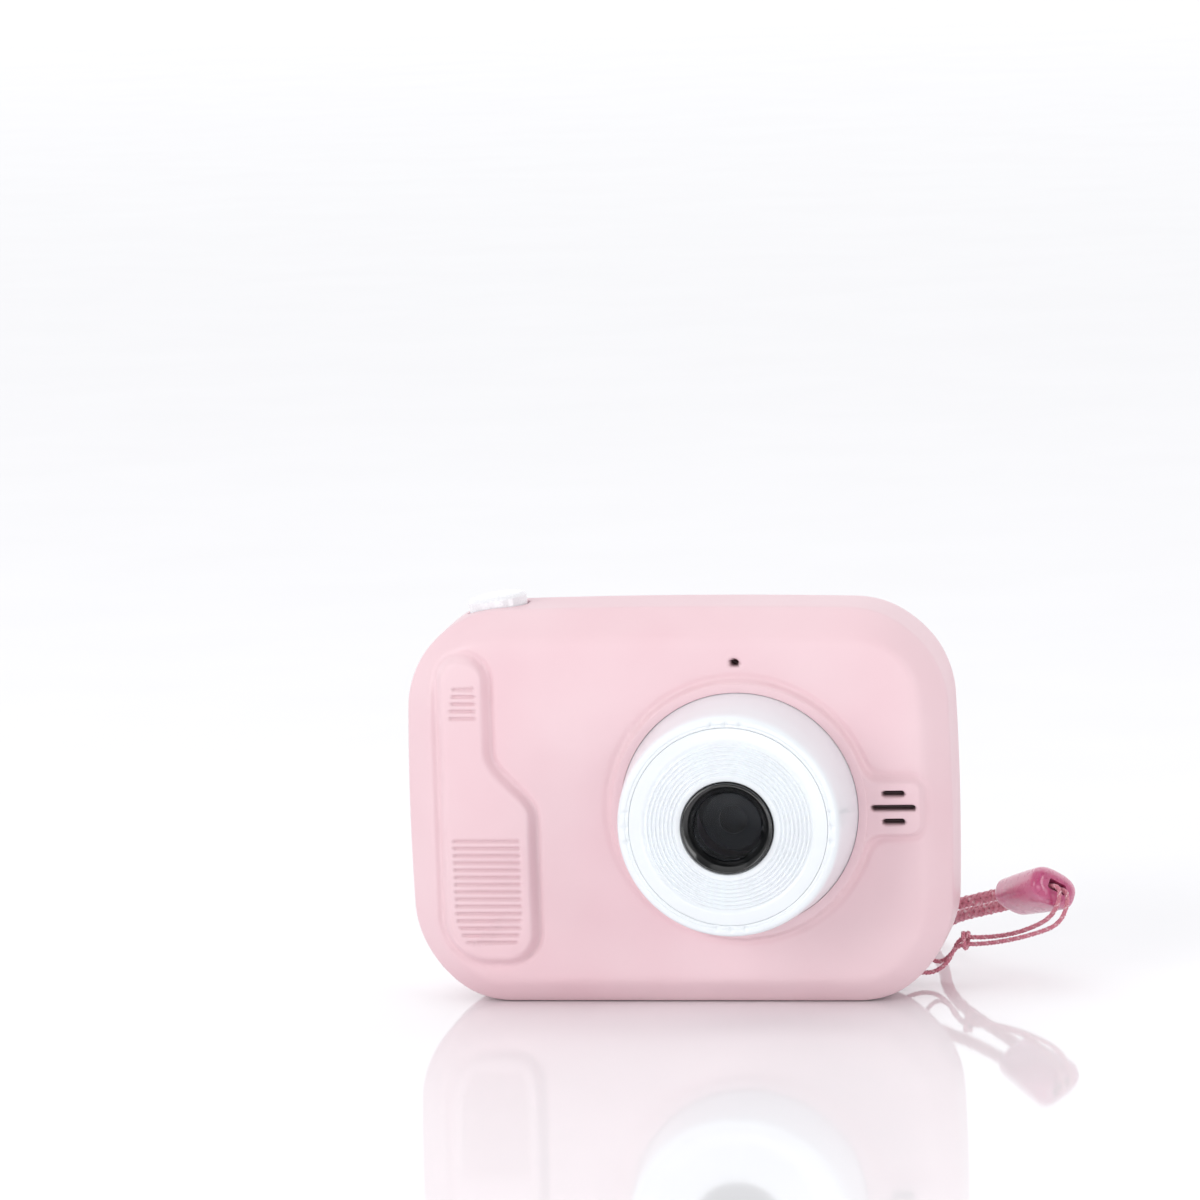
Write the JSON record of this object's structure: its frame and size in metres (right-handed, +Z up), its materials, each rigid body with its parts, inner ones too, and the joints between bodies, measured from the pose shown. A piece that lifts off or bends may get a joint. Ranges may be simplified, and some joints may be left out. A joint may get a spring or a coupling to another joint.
{
  "type": "kids digital camera",
  "caption": "Small pink toy camera with a white lens barrel, grip bump, rear screen and keys, shutter button, port flap and a wrist cord.",
  "frame": {"origin": "middle of the flat underside, on the surface that the camera stands on", "axes": "+Z up, +X to the right when the lens faces the viewer (the camera's wide direction), the lens points along -Y"},
  "size_m": [0.0988, 0.0807, 0.0615],
  "materials": {
    "pink_shell": "moulded ABS with a soft pearl satin coat",
    "white_gloss": "polished white ABS",
    "black_gloss": "polished black ABS",
    "clear_glass": "clear acrylic",
    "black_plastic": "fine textured black ABS",
    "sensor_glass": "glass over silicon",
    "circuit_board": "green solder mask",
    "flex_film": "polyimide film",
    "screw_steel": "zinc plated steel",
    "foam_pad": "closed cell foam tape",
    "battery_foil": "aluminium laminate pouch",
    "screen_gloss": "black glossy acrylic",
    "dark_cloth": "fine speaker mesh",
    "silver_gloss": "pearl white glossy ABS",
    "pink_rubber": "moulded silicone rubber",
    "pink_cord": "braided polyester cord",
    "clasp_gloss": "translucent glossy polypropylene"
  },
  "bodies": {
    "root": {"aperture_disc": "black_plastic", "barrel_screws": "screw_steel", "battery": "battery_foil", "battery_pad": "foam_pad", "card_socket": "screw_steel", "case_screws": "screw_steel", "charging_port": "screw_steel", "cord_clasp": "clasp_gloss", "display_frame": "black_plastic", "display_panel": "screen_gloss", "front_cover": "pink_shell", "holder_screws": "screw_steel", "image_sensor": "sensor_glass", "key_switches": "black_plastic", "lens_barrel": "white_gloss", "lens_bezel": "black_gloss", "lens_front_element": "clear_glass", "lens_holder": "black_plastic", "lens_rear_element": "clear_glass", "lens_ring": "white_gloss", "lens_window": "clear_glass", "main_board": "circuit_board", "memory_card": "black_plastic", "microphone": "screw_steel", "processor": "black_plastic", "rear_cover": "pink_shell", "screen_window": "screen_gloss", "sensor_board": "circuit_board", "sensor_flex": "flex_film", "shutter_board": "circuit_board", "shutter_spring": "screw_steel", "shutter_switch": "black_plastic", "speaker": "black_plastic", "speaker_mesh": "dark_cloth", "strap_bar": "screw_steel", "tie_cord": "pink_cord", "tie_hitch": "pink_cord", "wrist_cord": "pink_cord"},
    "key_ok": {"key_ok": "white_gloss"},
    "key_up": {"key_up": "white_gloss"},
    "key_down": {"key_down": "white_gloss"},
    "key_left": {"key_left": "white_gloss"},
    "key_right": {"key_right": "white_gloss"},
    "key_power": {"key_power": "white_gloss"},
    "key_mode": {"key_mode": "white_gloss"},
    "shutter_button": {"shutter_button": "silver_gloss"},
    "port_flap": {"port_flap": "pink_rubber"}
  },
  "joints": [
    {"name": "shutter_press", "type": "slide", "parent": "root", "child": "shutter_button", "axis": [0.1392, 0, -0.9903], "range_m": [0, 0.0008], "stiffness_N_per_m": 1500},
    {"name": "key_ok_press", "type": "slide", "parent": "root", "child": "key_ok", "axis": [0, -1, 0], "range_m": [0, 0.0005], "stiffness_N_per_m": 2000},
    {"name": "key_up_press", "type": "slide", "parent": "root", "child": "key_up", "axis": [0, -1, 0], "range_m": [0, 0.0005], "stiffness_N_per_m": 2000},
    {"name": "key_down_press", "type": "slide", "parent": "root", "child": "key_down", "axis": [0, -1, 0], "range_m": [0, 0.0005], "stiffness_N_per_m": 2000},
    {"name": "key_left_press", "type": "slide", "parent": "root", "child": "key_left", "axis": [0, -1, 0], "range_m": [0, 0.0005], "stiffness_N_per_m": 2000},
    {"name": "key_right_press", "type": "slide", "parent": "root", "child": "key_right", "axis": [0, -1, 0], "range_m": [0, 0.0005], "stiffness_N_per_m": 2000},
    {"name": "key_power_press", "type": "slide", "parent": "root", "child": "key_power", "axis": [0, -1, 0], "range_m": [0, 0.0005], "stiffness_N_per_m": 2000},
    {"name": "key_mode_press", "type": "slide", "parent": "root", "child": "key_mode", "axis": [0, -1, 0], "range_m": [0, 0.0005], "stiffness_N_per_m": 2000},
    {"name": "flap_swing", "type": "hinge", "parent": "root", "child": "port_flap", "pos_m": [-0.0409, 0.0008, 0.0173], "axis": [0, -1, 0], "range_deg": [0, 110], "stiffness_Nm_per_rad": 0.0004}
  ]
}
